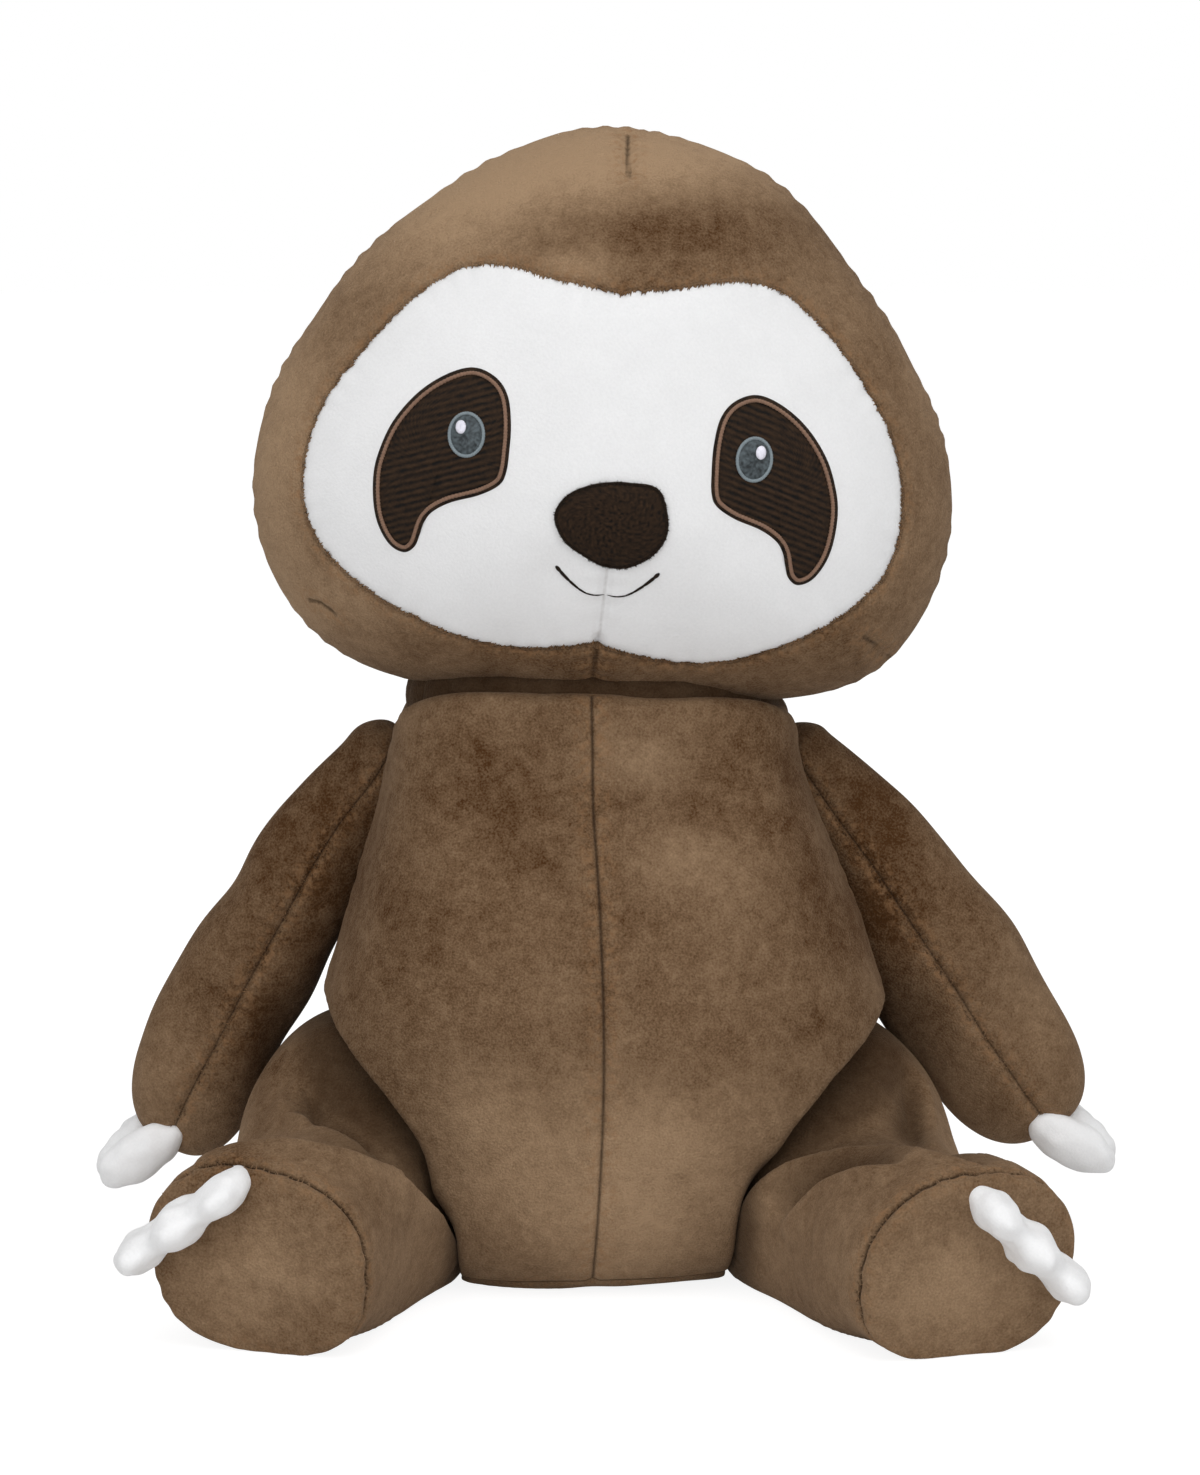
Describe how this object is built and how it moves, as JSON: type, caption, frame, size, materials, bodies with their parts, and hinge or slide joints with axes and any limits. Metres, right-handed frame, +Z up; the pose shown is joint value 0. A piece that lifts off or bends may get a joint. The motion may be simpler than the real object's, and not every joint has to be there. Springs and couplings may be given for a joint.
{
  "type": "plush sloth",
  "caption": "Sitting plush sloth with a white face, a head that turns, tilts and nods, and limbs that swing at the shoulders and hips.",
  "frame": {"origin": "middle of the flat seat, on the floor", "axes": "+Z up from the seat to the head; the toy looks along -Y; +X is the toy's own left"},
  "size_m": [0.2622, 0.1546, 0.2926],
  "materials": {
    "brown_pile": "short brushed pile, mid brown, with lighter brushed patches",
    "white_plush": "smooth white plush",
    "dark_thread": "dark brown embroidery and felt",
    "rose_thread": "rose brown embroidery thread",
    "blue_thread": "blue grey embroidery thread",
    "pale_thread": "pale lilac embroidery thread",
    "fibre_fill": "polyester fibre stuffing",
    "pouch_cloth": "plain cloth pouch of plastic beans"
  },
  "bodies": {
    "torso": {"torso_left_front": "brown_pile", "torso_right_front": "brown_pile", "torso_back": "brown_pile", "seat_panel": "brown_pile", "torso_stuffing": "fibre_fill", "bean_pouch": "pouch_cloth"},
    "neck_gusset": {"neck_gusset": "brown_pile"},
    "neck_stuffing": {"neck_stuffing": "fibre_fill"},
    "head": {"head_front_cover": "brown_pile", "head_back_cover": "brown_pile", "face_panel": "white_plush", "head_stuffing": "fibre_fill", "left_eye_patch": "dark_thread", "right_eye_patch": "dark_thread", "left_eye_trim": "rose_thread", "right_eye_trim": "rose_thread", "left_iris": "blue_thread", "right_iris": "blue_thread", "left_eye_glint": "pale_thread", "right_eye_glint": "pale_thread", "nose": "dark_thread", "left_mouth_stitch": "dark_thread", "right_mouth_stitch": "dark_thread"},
    "left_shoulder": {"left_shoulder_gather": "brown_pile"},
    "left_arm": {"left_arm_outer": "brown_pile", "left_arm_inner": "brown_pile", "left_arm_stuffing": "fibre_fill", "left_hand_claws": "white_plush"},
    "right_shoulder": {"right_shoulder_gather": "brown_pile"},
    "right_arm": {"right_arm_outer": "brown_pile", "right_arm_inner": "brown_pile", "right_arm_stuffing": "fibre_fill", "right_hand_claws": "white_plush"},
    "left_hip": {"left_hip_gather": "brown_pile"},
    "left_leg": {"left_leg_cover": "brown_pile", "left_sole_pad": "brown_pile", "left_leg_stuffing": "fibre_fill", "left_foot_claws": "white_plush"},
    "right_hip": {"right_hip_gather": "brown_pile"},
    "right_leg": {"right_leg_cover": "brown_pile", "right_sole_pad": "brown_pile", "right_leg_stuffing": "fibre_fill", "right_foot_claws": "white_plush"}
  },
  "joints": [
    {"name": "head_turn", "type": "hinge", "parent": "torso", "child": "neck_gusset", "pos_m": [0, 0, 0.1455], "axis": [0, 0, 1], "range_deg": [-30, 30], "stiffness_Nm_per_rad": 0.3},
    {"name": "head_tilt", "type": "hinge", "parent": "neck_gusset", "child": "neck_stuffing", "pos_m": [0, 0, 0.1455], "axis": [0, 1, 0], "range_deg": [-8, 2], "stiffness_Nm_per_rad": 1},
    {"name": "head_nod", "type": "hinge", "parent": "neck_stuffing", "child": "head", "pos_m": [0, 0, 0.1455], "axis": [1, 0, 0], "range_deg": [-10, 10], "stiffness_Nm_per_rad": 1},
    {"name": "left_arm_raise", "type": "hinge", "parent": "torso", "child": "left_shoulder", "pos_m": [0.054, 0.01, 0.1285], "axis": [0, -1, 0], "range_deg": [0, 45], "stiffness_Nm_per_rad": 0.06},
    {"name": "left_arm_swing", "type": "hinge", "parent": "left_shoulder", "child": "left_arm", "pos_m": [0.054, 0.01, 0.1285], "axis": [-0.7302, -0.4216, -0.5376], "range_deg": [0, 55], "stiffness_Nm_per_rad": 0.06},
    {"name": "right_arm_raise", "type": "hinge", "parent": "torso", "child": "right_shoulder", "pos_m": [-0.054, 0.01, 0.1285], "axis": [0, 1, 0], "range_deg": [0, 45], "stiffness_Nm_per_rad": 0.06},
    {"name": "right_arm_swing", "type": "hinge", "parent": "right_shoulder", "child": "right_arm", "pos_m": [-0.054, 0.01, 0.1285], "axis": [-0.7652, 0.4418, 0.4683], "range_deg": [0, 55], "stiffness_Nm_per_rad": 0.06},
    {"name": "left_leg_spread", "type": "hinge", "parent": "torso", "child": "left_hip", "pos_m": [0.0555, 0, 0.0335], "axis": [0, 0, 1], "range_deg": [0, 15], "stiffness_Nm_per_rad": 0.2},
    {"name": "left_leg_lift", "type": "hinge", "parent": "left_hip", "child": "left_leg", "pos_m": [0.0555, 0, 0.0335], "axis": [-1, 0, 0], "range_deg": [-20, 5], "stiffness_Nm_per_rad": 0.2},
    {"name": "right_leg_spread", "type": "hinge", "parent": "torso", "child": "right_hip", "pos_m": [-0.0555, 0, 0.0335], "axis": [0, 0, -1], "range_deg": [0, 15], "stiffness_Nm_per_rad": 0.2},
    {"name": "right_leg_lift", "type": "hinge", "parent": "right_hip", "child": "right_leg", "pos_m": [-0.0555, 0, 0.0335], "axis": [-1, 0, 0], "range_deg": [-20, 5], "stiffness_Nm_per_rad": 0.2}
  ]
}
